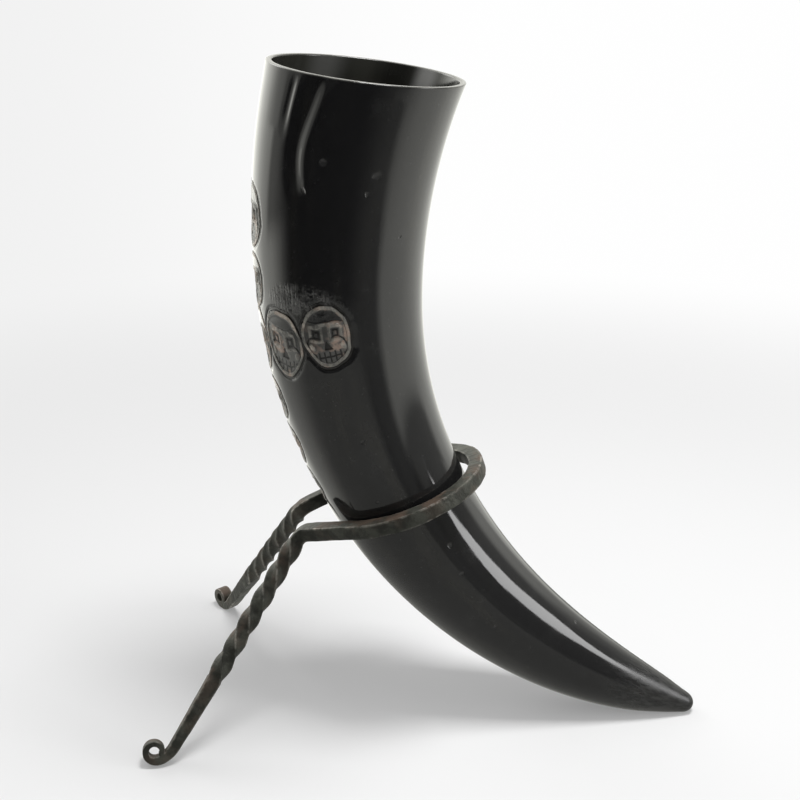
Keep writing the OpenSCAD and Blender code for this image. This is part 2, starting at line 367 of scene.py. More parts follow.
class Level:
    """A number that changes over a surface. Sums on it become Math nodes"""

    def __init__(self, finish, socket):
        self.finish = finish
        self.socket = socket

    def math(self, operation, *others, swapped=False):
        terms = [self, *others]
        if swapped:
            terms.reverse()
        made = self.finish.node("ShaderNodeMath", {"operation": operation},
                                dict(enumerate(terms)))
        return Level(self.finish, made.outputs[0])

    def __add__(self, other):
        return self.math("ADD", other)

    __radd__ = __add__

    def __sub__(self, other):
        return self.math("SUBTRACT", other)

    def __rsub__(self, other):
        return self.math("SUBTRACT", other, swapped=True)

    def __mul__(self, other):
        return self.math("MULTIPLY", other)

    __rmul__ = __mul__

    def __truediv__(self, other):
        return self.math("DIVIDE", other)

    def __abs__(self):
        return self.math("ABSOLUTE")

    def __pow__(self, other):
        return self.math("POWER", other)

    def under(self, other):
        return self.math("MINIMUM", other)

    def over(self, other):
        return self.math("MAXIMUM", other)

    def between(self, low, high):
        """Rises smoothly from 0 at low to 1 at high"""
        made = self.finish.node(
            "ShaderNodeMapRange", {"interpolation_type": "SMOOTHSTEP"},
            {"Value": self, "From Min": low, "From Max": high, "To Min": 0.0, "To Max": 1.0})
        return Level(self.finish, made.outputs[0])


class Finish:
    """The nodes of a material or of the room, added one by one"""

    def __init__(self, owner):
        self.owner = owner
        owner.use_nodes = True
        self.tree = owner.node_tree
        self.tree.nodes.clear()

    def node(self, kind, settings, sockets):
        """Adds a node: its type, its settings, and the values or links of its sockets"""
        made = self.tree.nodes.new(kind)
        for name, value in settings.items():
            setattr(made, name, value)
        for name, value in sockets.items():
            socket = made.inputs[name]
            if isinstance(value, Level):
                value = value.socket
            if isinstance(value, bpy.types.NodeSocket):
                self.tree.links.new(value, socket)
            elif socket.type == "RGBA":
                socket.default_value = (*value, 1)
            else:
                socket.default_value = value
        return made

    def attribute(self, name, output="Fac"):
        made = self.node("ShaderNodeAttribute", {"attribute_name": name}, {})
        return Level(self, made.outputs["Fac"]) if output == "Fac" else made.outputs["Vector"]

    def object_place(self):
        return self.node("ShaderNodeTexCoord", {}, {}).outputs["Object"]

    def split(self, vector):
        """The three numbers of a vector"""
        made = self.node("ShaderNodeSeparateXYZ", {}, {0: vector})
        return [Level(self, output) for output in made.outputs]

    def rays(self):
        """1 where the camera looks straight, and 1 where something mirrors or bends light"""
        path = self.node("ShaderNodeLightPath", {}, {})
        seen, glossy, through = (
            Level(self, path.outputs[name])
            for name in ("Is Camera Ray", "Is Glossy Ray", "Is Transmission Ray"))
        return seen, glossy.over(through)

    def stretched(self, vector, scale):
        return self.node("ShaderNodeVectorMath", {"operation": "MULTIPLY"},
                         {0: vector, 1: scale}).outputs[0]

    def distance(self, vector, point):
        return Level(self, self.node("ShaderNodeVectorMath", {"operation": "DISTANCE"},
                                     {0: vector, 1: point}).outputs["Value"])

    def clouds(self, vector, scale, detail=3.0, roughness=0.55):
        made = self.node("ShaderNodeTexNoise", {},
                         {"Vector": vector, "Scale": scale, "Detail": detail,
                          "Roughness": roughness})
        return Level(self, made.outputs["Fac"])

    def cells(self, vector, scale):
        made = self.node("ShaderNodeTexVoronoi", {"feature": "F1"},
                         {"Vector": vector, "Scale": scale})
        return Level(self, made.outputs["Distance"])

    def mixed(self, factor, first, second):
        made = self.node("ShaderNodeMix", {"data_type": "RGBA", "clamp_factor": True},
                         {0: factor, 6: first, 7: second})
        return made.outputs[2]

    def bump(self, height, distance, normal=None):
        sockets = {"Height": height, "Distance": distance, "Strength": 1.0}
        if normal is not None:
            sockets["Normal"] = normal
        return self.node("ShaderNodeBump", {}, sockets).outputs["Normal"]

    def compass(self, x, y):
        """Turn in degrees from the camera's side toward the right, and toward the left"""
        turn = x.math("ARCTAN2", 0.0 - y) * degrees(1)
        return turn, 0.0 - turn

    def rises(self, level, *steps):
        """Adds up smooth rises over a level: from here, to here, by this much"""
        return sum(level.between(low, high) * much for low, high, much in steps)

    def glow(self, tone):
        """Slightly warm light, as bright as its tone, up to 3"""
        return self.mixed(tone / 3.0, (0, 0, 0), (3.0, 3.0, 2.8))

    def surface(self, sockets):
        shader = self.node("ShaderNodeBsdfPrincipled", {}, sockets)
        self.node("ShaderNodeOutputMaterial", {}, {"Surface": shader.outputs[0]})
        return self.owner


def skull_lines(across, up):
    """The raised pale lines of a skull's face, and its dark cuts, 0 to 1"""
    side = abs(across)
    box = abs(side - EYE[0]).over(abs(up - EYE[1]) * EYE_FLAT)
    socket = box.between(0.16, 0.19) * (1.0 - box.between(0.26, 0.30))
    brow = (1.0 - abs(up - BROW_UP + side * side * BROW_BOW).between(0.03, 0.08)) \
        * (1.0 - side.between(0.62, 0.7))
    cheek = 1.0 - ((side - CHEEK[0]) ** 2.0 + (up - CHEEK[1]) ** 2.0).between(0.004, 0.016)

    pupil = box.between(0.05, 0.08) * (1.0 - box.between(0.12, 0.15))
    nose = (1.0 - (side + up * 0.6).between(-0.09, -0.05)) * up.between(-0.44, -0.40)
    bite = abs(up - MOUTH_UP)
    mouth = (1.0 - side.between(0.46, 0.50)) * (1.0 - bite.between(0.15, 0.18))
    comb = abs((across * 4.6 + 40.5).math("FRACT") - 0.5)
    teeth = mouth * (1.0 - comb.between(0.10, 0.20)).over(1.0 - bite.between(0.015, 0.04))
    round_jaw = ((side - JAW[0]) ** 2.0 + (up - JAW[1]) ** 2.0) ** 0.5 - 0.27
    jaw = (1.0 - abs(round_jaw).between(0.015, 0.05)) * side.between(0.5, 0.56)
    return socket.over(brow).over(cheek), pupil.over(nose).over(teeth).over(jaw)


def nicks_in_skin(f, grain, rubbed, form):
    """Small uneven nicks knocked into the polished skin"""
    nicked = 0.0
    for d, turn, wide in NICKS:
        reach = float(form.skin(d * MM))
        spot = (reach * cos(radians(turn)), reach * sin(radians(turn)), d * MM)
        away = f.distance(grain, spot) + (rubbed - 0.5) * (3.0 * MM)
        nicked = (1.0 - away.between(0.2 * wide * MM, wide * MM)) + nicked
    return nicked


def horn_finish(sizes):
    """Polished black horn with smoky streaks, cut tan in the carved ovals"""
    f = Finish(bpy.data.materials.new("polished_horn"))
    grain = f.attribute("grain", "Vector")
    along = f.stretched(grain, (1.0, 1.0, 0.09))
    streaks = f.clouds(along, 120.0, 4.0)
    broad = f.clouds(along, 28.0, 3.0)
    specks = f.cells(grain, 330.0)
    fine = f.clouds(grain, 1500.0, 2.0)
    rubbed = f.clouds(grain, 420.0, 3.0)
    haze = f.clouds(grain, 75.0, 5.0, 0.65).between(0.54, 0.74)
    scratches = f.clouds(f.stretched(grain, (1.0, 1.0, 0.05)), 900.0, 3.0)
    worn_tip = f.split(grain)[2].between(0.306, 0.350)
    inside = f.attribute("inside")
    lip = f.attribute("lip")

    # The carved ovals
    uv = f.node("ShaderNodeUVMap", {"uv_map": "oval"}, {}).outputs[0]
    across, up, _ = f.split(uv)
    out = (across * across + up * up) ** 0.5
    field = 1.0 - out.between(0.80, 0.85)
    ring = out.between(0.82, 0.86) * (1.0 - out.between(0.94, 0.98))
    groove = out.between(0.94, 0.98) * (1.0 - out.between(1.03, 1.08))
    raised_lines, cut_lines = skull_lines(across, up)
    pale = (raised_lines * field).over(ring) * (0.25 + rubbed.between(0.36, 0.58) * 0.75)
    dark = (cut_lines * field).over(groove)
    crown = up.between(0.40, 0.48) * field * broad.between(0.36, 0.50)
    stain = (f.clouds(grain, 95.0, 4.0) + (rubbed - 0.5) * 0.35).between(0.42, 0.54)
    cut = (field * (1.0 - crown)).over(ring)

    # The polished skin, with its dust and nicks
    dark_skin = f.mixed(streaks.between(0.45, 0.72) * broad.between(0.35, 0.7),
                        sizes.black, sizes.smoky)
    dusty = f.mixed((1.0 - specks.between(0.05, 0.11)) * broad.between(0.42, 0.62) * 0.3
                    + haze * 0.05, dark_skin, sizes.dust)
    nicked = nicks_in_skin(f, grain, rubbed, HornForm(sizes))
    scraped = worn_tip * scratches.between(0.4, 0.6) * 0.2
    paler = f.mixed(nicked * 0.16 + scraped, dusty, sizes.dust)

    # The cut horn of the ovals, and the rough patch above them
    smoked = 1.0 - f.distance(grain, SMOKED_SPOT).between(0.007, 0.014)
    stained = f.mixed(stain, sizes.carved_tan, sizes.carved_grey)
    carved = f.mixed(cut * 0.94, paler, f.mixed(smoked * 0.8, stained, sizes.smoked))
    raised = f.mixed(pale, carved, f.mixed(stain * 0.8, sizes.carved_edge,
                                           sizes.stained_edge))
    lined = f.mixed(dark * 0.92, raised, sizes.cut_line)
    cross_scratches = f.clouds(f.stretched(grain, (0.5, 0.5, 1.0)), 1000.0, 4.0)
    scuff = f.attribute("scuff") * (
        scratches.between(0.42, 0.66).over(cross_scratches.between(0.44, 0.68))
        * f.clouds(grain, 170.0, 3.0).between(0.34, 0.58))
    scuffed = f.mixed(scuff * 0.62, lined, sizes.rough_patch)

    # The rim and the bore
    rimmed = f.mixed(lip * 0.8, scuffed, sizes.rim_pale)
    level = f.stretched(grain, (1.0, 1.0, 0.0))
    # Painted reflections: pale streaks down the far side of the bore stand in for the lit inner
    # wall mirrored there
    painted_glint = sum((1.0 - f.distance(level, spot).between(core, reach)) * strength
                   for spot, core, reach, strength in BORE_PAINTED_GLINTS)
    clear = f.mixed(broad.between(0.38, 0.60), sizes.inner_dark, sizes.inner_pale)
    bored = f.mixed(painted_glint, clear, sizes.inner_painted_glint)
    base = f.mixed(inside * (1.0 - lip), rimmed, bored)

    polish = 0.045 + streaks * 0.035 + scratches.between(0.5, 0.75) * 0.03 + haze * 0.05
    wear = worn_tip * (0.15 + scratches * 0.25) + scuff * 0.4
    tooled = cut * 0.38 + inside * 0.06 + lip * 0.15
    relief = pale * 0.7 - dark * 0.8 + cut * (fine * 0.3 + rubbed * 0.5) \
        + scuff * 0.35 - nicked * 0.4
    small = f.bump(relief, 0.0006)
    normal = f.bump(streaks * 0.5 + fine * 0.04, 0.00012, small)
    return f.surface({"Base Color": base, "Roughness": (polish + wear + tooled).under(0.75),
                      "Normal": normal, "IOR": 1.54})


def iron_finish(sizes):
    """Forge-blackened bar with hammer scale, rust on its upper faces and worn edges"""
    f = Finish(bpy.data.materials.new("hammered_iron"))
    place = f.object_place()
    scale_patches = f.clouds(place, 160.0, 4.0)
    grit = f.clouds(place, 1400.0, 3.0)
    pits = f.cells(place, 700.0)
    bloom = f.clouds(place, 90.0, 4.0)
    edge = f.attribute("edge")
    top = f.attribute("top")

    nicks = f.clouds(place, 420.0, 3.0)
    worn = edge.between(0.35, 0.85) * nicks.between(0.34, 0.62) * bloom.between(0.36, 0.56)
    # Rust bloom, heavier on upward faces: partly rust, partly painted top light
    rust_and_top_light = (0.3 + top.between(0.2, 0.8) * 0.7) * bloom.between(0.44, 0.60) \
        * (0.45 + grit * 0.5)
    dark = f.mixed(scale_patches.between(0.4, 0.64), sizes.iron, sizes.scale)
    brown = f.mixed(rust_and_top_light, dark, sizes.rust)
    base = f.mixed(worn * 0.55, brown, sizes.bright)
    rough = (0.50 + scale_patches * 0.14 + rust_and_top_light * 0.14 - worn * 0.18).under(0.85)
    metal = 0.35 + worn * 0.45 - rust_and_top_light * 0.3
    marks = f.bump(bloom * 0.8 + scale_patches * 0.9 + nicks * 0.35, 0.0009)
    normal = f.bump(grit * 0.5 - (1.0 - pits.between(0.0, 0.3)) * 0.5, 0.00018, marks)
    return f.surface({"Base Color": base, "Roughness": rough, "Metallic": metal.over(0.0),
                      "Normal": normal})


def floor_finish(sizes):
    """A pale matt table that keeps its shadow near the horn and pales into the room"""
    f = Finish(bpy.data.materials.new("pale_floor"))
    x, y, _ = f.split(f.object_place())
    seen, mirrored = f.rays()
    out = (x * x + y * y) ** 0.5
    # Brighter toward the right, as the room is
    right = (x / (out + 0.35)).between(-0.46, -0.04)
    matt = f.node("ShaderNodeBsdfDiffuse", {}, {
        "Color": f.mixed(right, sizes.floor_left, sizes.floor)})
    pale = f.node("ShaderNodeEmission", {}, {
        "Color": f.mixed(right, sizes.backdrop_left, sizes.backdrop)})
    lit = f.node("ShaderNodeMixShader", {}, {
        0: seen * (0.24 + out.between(0.28, 0.8) * 0.76),
        1: matt.outputs[0], 2: pale.outputs[0]})

    # Painted reflection: mirrored rays see the floor glow with a made-up tone, a round tabletop
    # dimmed near the horn as painted shade, and painted walls of the room past its edge
    turn, left = f.compass(x, y)
    near = 0.40 + f.rises(turn, (45, 85, 0.9)) * out.between(0.25, 0.45) \
        + f.rises(left, (50, 85, 0.5), (100, 130, 0.7), (140, 175, -0.3)) \
        * out.between(0.08, 0.16)
    painted_room = 0.01 + f.rises(turn, (10, 50, 0.2), (54, 69, 1.1)) \
        + f.rises(left, (56, 90, 1.75), (100, 130, 0.6), (140, 175, -1.1))
    gap = turn.between(40, 60) * (1.0 - turn.between(112, 126)) * 0.72 \
        + left.between(50, 60) * (1.0 - left.between(92, 100)) * 0.6
    past_gap = painted_room * (1.0 - gap * out.between(0.85, 1.3))
    edge = out.between(0.495, 0.545)
    tone = near * (1.0 - edge) + past_gap * edge
    painted_reflection = f.node("ShaderNodeEmission", {}, {"Color": f.glow(tone)})
    shown = f.node("ShaderNodeMixShader", {}, {0: mirrored, 1: lit.outputs[0],
                                               2: painted_reflection.outputs[0]})
    f.node("ShaderNodeOutputMaterial", {}, {"Surface": shown.outputs[0]})
    return f.owner


# The horn

class MakeHorn(bpy.types.Operator):
    """Rolls a sheet round the horn's two bends, tapers it, bores it and carves it"""
    bl_idname = "drinking_horn.make_horn"
    bl_label = "Horn"

    # Rows of faces, from the tip up the skin and back down the bore. Each stretch runs to
    # this distance from the rim in millimetres, with rows this far apart
    skin_rows = ((362.9, 0.1), (362, 0.25), (359, 0.55), (350, 1.1), (330, 1.7), (184, 2.3),
                 (44, 0.6), (1.6, 1.5), (0.8, 0.4))
    bore_rows = ((1.6, 0.4), (100, 8), (200, 6), (240, 2.6), (249.4, 1), (250.9, 0.3),
                 (251, 0.1))
    # Across the rim: share of the wall, and depth as a share of the lip's rounding
    lip_rows = ((0.0, 0.9), (0.03, 0.5), (0.1, 0.17), (0.22, 0.0), (0.5, -0.04),
                (0.78, 0.0), (0.9, 0.17), (0.97, 0.5), (1.0, 0.9))
    # As shares of an oval: the edge of its sunken field, and the groove with its half width
    field_edge, groove_at, groove_half = (0.88, 0.80), 1.02, (0.10, 0.02)
    # Faces further out than this are plain, and are laid this far away
    oval_reach, far_away = 1.4, 3
    # Where the lip ends, down from the rim
    lip_end = (0.7 * MM, 0.1 * MM)
    # Where the worn tip starts and ends, and how much lower it lies
    tip_start, tip_end, tip_drop = 345 * MM, 363 * MM, 0.7 * MM
    # The rim's slope is gone from the rows this far down
    slope_end = 60 * MM
    # The rough patch in millimetres: distance from the rim, offset from the cross's middle
    # line, half height and half width
    patch = (87.5, 32, 7, 17)

    def rows(self, form, sizes):
        """Distance from the rim and share of the wall for each row"""
        places = [(form.full, 0.0)]
        for stretches, inner in ((self.skin_rows, 0.0), (self.bore_rows, 1.0)):
            if inner:
                places += [(sizes.lip_round * deep, part) for part, deep in self.lip_rows]
            for reach, step in stretches:
                start = places[-1][0]
                count = max(1, round(abs(reach * MM - start) / (step * MM)))
                places += [(start + (reach * MM - start) * (i + 1) / count, inner)
                           for i in range(count)]
        return np.array(places)

    def waves(self, d, turn):
        """Uneven places of the polished skin, from 0 to 1"""
        x, y = np.cos(turn), np.sin(turn)
        down = d / MM
        total = (np.sin(3.1 * x + down * 0.021 + 0.6) * np.sin(2.7 * y - down * 0.017 + 1.9)
                 + 0.6 * np.sin(5.3 * y + 4.1 * x + down * 0.043 + 2.2)
                 + 0.35 * np.sin(9.7 * x - 7.9 * y + down * 0.031 + 0.3)
                 + 0.25 * np.sin(13.1 * y + 6.2 * x - down * 0.09 + 4.2))
        return np.clip(total / 4.4 + 0.5, 0, 1)

    def trough(self, off, half, width, ridge):
        """A hollow on one side of a line, and a ridge on its other side"""
        return (np.exp(-((off + half) / width) ** 2)
                - ridge * np.exp(-((off - half) / width) ** 2))

    def dent(self, d, arc):
        """The long wandering hollow below the rim and the one beside it, -1 to 1"""
        down, across = d / MM, arc / MM
        main = across - (33.2 + 5.6 * np.exp(-down / 12) + 0.9 * np.sin(down * 0.16))
        side = across - (26.5 - down * 0.10)
        return self.trough(main, 2.7, 3.4, 0.85) * smooth(-3, 7, down) * smooth(51, 38, down) \
            + 0.5 * self.trough(side, 1.2, 1.8, 1) * smooth(0, 5, down) * smooth(27, 14, down)

    def execute(self, context):
        sizes = context.scene.horn_sizes
        form = HornForm(sizes)
        places = self.rows(form, sizes)
        bm = bmesh.new()
        bmesh.ops.create_grid(bm, x_segments=sizes.columns, y_segments=len(places) - 1,
                              size=1)
        flat = np.array([vert.co for vert in bm.verts])
        row = np.rint((flat[:, 1] + 1) / 2 * (len(places) - 1)).astype(int)
        d, inner = places[row, 0], places[row, 1]

        # Faces stand closer together on the carved side
        off = flat[:, 0] * pi
        turn = sizes.cross_turn + off - sizes.pull * np.sin(off)
        arc = form.skin(d) * (turn - sizes.cross_turn)
        across, up, _ = oval_coordinates(d, arc)
        out = np.hypot(across, up)
        sunk = sizes.field_depth * smooth(*self.field_edge, out) * face_depth(across, up)
        sunk += sizes.groove_depth * smooth(*self.groove_half, np.abs(out - self.groove_at))
        sunk += sizes.dent_depth * self.dent(d, arc)
        sunk *= 1 - inner
        sunk += sizes.wave_depth * self.waves(d, turn) * (1 - 0.5 * inner) \
            * smooth(0, 8 * MM, d) * smooth(self.tip_end, self.tip_start, d)

        def reach_at(d):
            return form.skin(d) + (form.bore(d) - form.skin(d)) * inner

        sloped = d + form.rim_shift(turn, reach_at) * smooth(self.slope_end, 0, d)
        placed = form.place(sloped, turn, np.maximum(reach_at(sloped) - sunk, 0))
        drop = self.tip_drop * smooth(self.tip_start, self.tip_end, d)
        placed[:, 2] = np.maximum(placed[:, 2] - drop, 0)
        for vert, co in zip(bm.verts, placed):
            vert.co = co
        bmesh.ops.remove_doubles(bm, verts=bm.verts, dist=0.002 * MM)
        bmesh.ops.dissolve_degenerate(bm, edges=bm.edges, dist=0.001 * MM)
        piece = smooth_mesh(bm, "horn_body")
        self.mark(piece.data, form, sizes)
        piece.data.materials.append(horn_finish(sizes))
        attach(piece, "horn")
        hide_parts("horn")
        return {"FINISHED"}

    def mark(self, mesh, form, sizes):
        """Writes what the horn's finish reads: its grain, its bore, its lip and its ovals"""
        d, turn, reach = form.read(points_of(mesh))
        off = (turn - sizes.cross_turn + pi) % (2 * pi) - pi
        skin = form.skin(np.clip(d, 0, form.full))
        arc = skin * off
        write_attribute(mesh, "grain", np.stack([reach * np.cos(turn),
                                                 reach * np.sin(turn), d], -1))
        inside = np.where(reach < skin - 0.5 * form.wall(d), 1.0, 0.0) \
            * np.where(d < form.hollow + 1 * MM, 1.0, 0.0)
        write_attribute(mesh, "inside", inside)

        def own_reach(_):
            return reach

        from_rim = d - form.rim_shift(turn, own_reach)
        write_attribute(mesh, "lip", smooth(*self.lip_end, from_rim))
        middle, offset, half_height, half_width = self.patch
        from_patch = np.hypot((d / MM - middle) / half_height,
                              (arc / MM - offset) / half_width)
        write_attribute(mesh, "scuff", smooth(1.15, 0.55, from_patch)
                        * np.where(inside > 0, 0, 1))
        self.lay_ovals(mesh, d, arc, inside)

    def lay_ovals(self, mesh, d, arc, inside):
        """Lays each face into its nearest oval, and those outside all ovals far away"""
        corner = np.empty(len(mesh.loops), np.int32)
        mesh.loops.foreach_get("vertex_index", corner)
        count = np.empty(len(mesh.polygons), np.int32)
        mesh.polygons.foreach_get("loop_total", count)
        face = np.repeat(np.arange(len(count)), count)
        face_d = np.bincount(face, d[corner]) / count
        face_arc = np.bincount(face, arc[corner]) / count
        across, up, nearest = oval_coordinates(face_d, face_arc)
        bored = inside[corner][np.cumsum(count) - 1] > 0
        plain = ((np.hypot(across, up) > self.oval_reach) | bored)[face]
        oval = OVALS[nearest[face]]
        u, v = hand_cut((arc[corner] - oval[:, 1]) / oval[:, 2],
                        (oval[:, 0] - d[corner]) / oval[:, 3], nearest[face])
        laid = np.stack([np.where(plain, self.far_away, part) for part in (u, v)], -1)
        mesh.uv_layers.new(name="oval").data.foreach_set(
            "uv", laid.astype(np.float32).ravel())


# The stand

SIDES = ((1, "left"), (-1, "right"))


class StandForm:
    """Where the stand's bar runs, worked out from its sizes"""

    knee_steps, twist_steps, plain_steps = 16, 120, 40

    def __init__(self, sizes, horn_sizes):
        self.sizes = sizes
        form = HornForm(horn_sizes)
        at = np.array([horn_sizes.upper_length + sizes.hoop_at])
        tilt = sizes.hoop_tilt
        self.forward = Vector((cos(tilt), 0, sin(tilt)))
        self.normal = Vector((-sin(tilt), 0, cos(tilt)))
        self.radius = float(form.skin(at)[0]) + sizes.hoop_room + sizes.bar / 2
        middle = form.place(at, np.zeros(1), np.zeros(1))[0]
        self.centre = Vector(middle) + self.forward * sizes.hoop_offset

    def in_hoop(self, forward, across):
        """A direction in the hoop's plane"""
        return self.forward * forward + UP_Y * across

    def arm_along(self, side):
        turn = self.sizes.hoop_turn
        return self.in_hoop(-sin(turn), side * cos(turn))

    def arm_start(self, side):
        turn = self.sizes.hoop_turn
        return self.centre + self.in_hoop(cos(turn), side * sin(turn)) * self.radius

    def arm_length(self, side):
        return self.sizes.left_arm if side > 0 else self.sizes.right_arm

    def leg_along(self, side):
        s = self.sizes
        lean, splay = (s.left_lean, s.left_splay) if side > 0 else (s.right_lean,
                                                                    s.right_splay)
        return Vector((-cos(splay) * sin(lean), side * sin(splay) * sin(lean), -cos(lean)))

    def knee_stations(self, side):
        """Middle, direction, flat direction, width and depth of the bar round the knee"""
        bar = self.sizes.bar
        arm = self.arm_along(side)
        start = self.arm_start(side) + arm * self.arm_length(side)
        axis = arm.cross(self.leg_along(side)).normalized()
        spoke = axis.cross(arm)
        flat = self.normal.cross(arm).normalized()
        if side > 0:
            flat = Matrix.Rotation(pi / 2, 3, arm) @ flat
        full = acos(arm.dot(self.leg_along(side)))
        stations = []
        for i in range(self.knee_steps + 1):
            turn = Matrix.Rotation(full * i / self.knee_steps, 3, axis)
            stations.append((start + (spoke - turn @ spoke) * self.sizes.knee_radius,
                             turn @ arm, turn @ flat, bar, bar))
        return stations

    def leg_stations(self, side):
        """The knee, the twist and the plain stretch down to the scroll"""
        s = self.sizes
        stations = self.knee_stations(side)
        start, _, flat, bar, _ = stations[-1]
        along = self.leg_along(side)
        total = s.left_twist if side > 0 else s.right_twist
        full = s.left_length if side > 0 else s.right_length
        for i in range(1, self.twist_steps + 1):
            part = i / self.twist_steps
            turned = Matrix.Rotation(-total * part, 3, along) @ flat
            stations.append((start + along * s.twist_length * part, along, turned, bar, bar))
        plain = full - s.twist_length
        for i in range(1, self.plain_steps + 1):
            part = i / self.plain_steps
            stations.append((start + along * (s.twist_length + plain * part), along, turned,
                             bar + (s.scroll_width - bar) * part,
                             bar + (s.scroll_bar - bar) * part))
        return stations

    def scroll_stations(self, side, steps=30, more=6, fine=4):
        """The scroll that the bar's end is rolled into, its last steps closing it up"""
        s = self.sizes
        here, along, axis, _, _ = self.leg_stations(side)[-1]
        step = s.scroll_turn / steps
        corners = []
        for i in range(steps + more + 1):
            part = min(1, i / steps)
            radius = s.scroll_radius + (s.scroll_end_radius - s.scroll_radius) * part \
                + (s.scroll_start_radius - s.scroll_radius) * (1 - min(1, part / 0.3)) ** 2
            depth = s.scroll_end_bar + (s.scroll_bar - s.scroll_end_bar) * (1 - part) ** 2.5
            thicker = s.scroll_thicker * min(1, 2 * part)
            inward = axis.cross(along) * (thicker / 2)
            corners.append((here + inward, along, axis, s.scroll_width, depth + thicker))
            half = Matrix.Rotation(step / 2, 3, axis)
            here = here + half @ along * (radius * 2 * sin(step / 2))
            along = Matrix.Rotation(step, 3, axis) @ along
        stations = []
        for first, second in zip(corners, corners[1:]):
            for j in range(fine):
                t = j / fine
                bow = Matrix.Rotation(step * t, 3, axis)
                chord = second[0] - first[0]
                sag = first[1].cross(axis) * (chord.length * 0.5 * t * (1 - t) * step)
                stations.append((first[0] + chord * t + sag, bow @ first[1], axis,
                                 s.scroll_width, first[4] + (second[4] - first[4]) * t))
        stations.append(corners[-1])
        return stations


def bar_frame(station):
    """The matrix that carries the bar's unit outline to a station"""
    here, along, flat, width, depth = station
    deep = along.cross(flat)
    held = Matrix((flat * width, deep * depth, along * (width + depth) / 2)).transposed()
    return Matrix.Translation(here) @ held.to_4x4()


def unit_outline(bm, sides, corner):
    """A square with rounded corners, one unit wide, made from a circle"""
    verts = bmesh.ops.create_circle(bm, segments=sides, radius=0.5)["verts"]
    for vert in verts:
        x, y = vert.co.x, vert.co.y
        spread = (abs(x) ** corner + abs(y) ** corner) ** (1 / corner)
        vert.co *= 0.5 / spread
    return verts


def forge(stations, corner, sides=40):
    """Draws a closed bar out along its stations, one extrusion for each"""
    bm = bmesh.new()
    verts = unit_outline(bm, sides, corner)
    edges = list({edge for vert in verts for edge in vert.link_edges})
    last = bar_frame(stations[0])
    bmesh.ops.transform(bm, matrix=last, verts=verts)
    first = edges
    for station in stations[1:]:
        drawn = bmesh.ops.extrude_edge_only(bm, edges=edges)
        verts = made_parts(drawn, bmesh.types.BMVert)
        held = set(verts)
        edges = [edge for edge in made_parts(drawn, bmesh.types.BMEdge)
                 if held.issuperset(edge.verts)]
        following = bar_frame(station)
        bmesh.ops.transform(bm, matrix=following @ last.inverted(), verts=verts)
        last = following
    for end in (first, edges):
        bmesh.ops.edgeloop_fill(bm, edges=end)
    return bm


def hammered(mesh, stations, sizes):
    """Sinks hammer marks into a bar and writes what the iron's finish reads"""
    points = points_of(mesh)
    middles, alongs, flats, widths, depths = (np.array(part) for part in zip(*stations))
    around = len(points) // len(stations)
    owner = np.minimum(np.arange(len(points)) // around, len(stations) - 1)
    off = points - middles[owner]
    deeps = np.cross(alongs, flats)
    x = (off * flats[owner]).sum(1) / widths[owner] * 2
    y = (off * deeps[owner]).sum(1) / depths[owner] * 2
    edge = smooth(1.16, 1.31, np.hypot(x, y))
    # Small marks and broad ones, half and half
    marks = np.array([noise.noise(Vector(p) * 210) * 0.5 + noise.noise(Vector(p) * 95) * 0.5
                      for p in points])
    sink = sizes.hammer_depth * np.clip(marks + 0.35, 0, 1)
    inward = -off / np.maximum(np.linalg.norm(off, axis=1), 1e-6)[:, None]
    points = points + inward * (sink * (0.4 + 0.6 * edge))[:, None]
    points[:, 2] = np.maximum(points[:, 2], 0)
    mesh.vertices.foreach_set("co", points.ravel())
    mesh.update()
    normals = np.empty(len(points) * 3)
    mesh.vertices.foreach_get("normal", normals)
    write_attribute(mesh, "edge", edge)
    # How much each point faces up, which weights the rust and so paints top light
    write_attribute(mesh, "top", np.clip(normals.reshape(-1, 3)[:, 2], 0, 1))
    mesh.set_sharp_from_angle(angle=radians(50))


def forge_piece(sizes, name, node, stations):
    """Forges, hammers and blackens one piece of the stand, which takes a node's place"""
    piece = smooth_mesh(forge(stations, sizes.corner), name)
    hammered(piece.data, stations, sizes)
    iron = bpy.data.materials.get("hammered_iron") or iron_finish(sizes)
    piece.data.materials.append(iron)
    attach(piece, "stand")
    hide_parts(node)


class MakeHoop(bpy.types.Operator):
    """Bends the hoop and its two arms from square bar"""
    bl_idname = "drinking_horn.make_hoop"
    bl_label = "Hoop"
    arm_steps, hoop_steps = 44, 190

    def arm(self, form, side):
        """The bar from the hoop out to one knee, without its first station"""
        bar = form.sizes.bar
        along = form.arm_along(side)
        flat = form.normal.cross(along).normalized()
        return [(form.arm_start(side) + along * form.arm_length(side) * i / self.arm_steps,
                 along * side, flat * side, bar, bar) for i in range(1, self.arm_steps + 1)]

    def execute(self, context):
        sizes = context.scene.stand_sizes
        form = StandForm(sizes, context.scene.horn_sizes)
        stations = self.arm(form, -1)[::-1]
        for i in range(self.hoop_steps + 1):
            turn = sizes.hoop_turn * (2 * i / self.hoop_steps - 1)
            spoke = form.in_hoop(cos(turn), sin(turn))
            along = form.in_hoop(-sin(turn), cos(turn))
            stations.append((form.centre + spoke * form.radius, along, -spoke,
                             sizes.bar, sizes.bar))
        stations += self.arm(form, 1)
        forge_piece(sizes, "hoop_bar", "hoop", stations)
        return {"FINISHED"}


class MakeLegs(bpy.types.Operator):
    """Draws each leg round its knee, through its twist and down to its scroll"""
    bl_idname = "drinking_horn.make_legs"
    bl_label = "Twisted legs"

    def execute(self, context):
        sizes = context.scene.stand_sizes
        form = StandForm(sizes, context.scene.horn_sizes)
        for side, name in SIDES:
            forge_piece(sizes, name + "_leg_bar", name + "_leg", form.leg_stations(side))
        return {"FINISHED"}


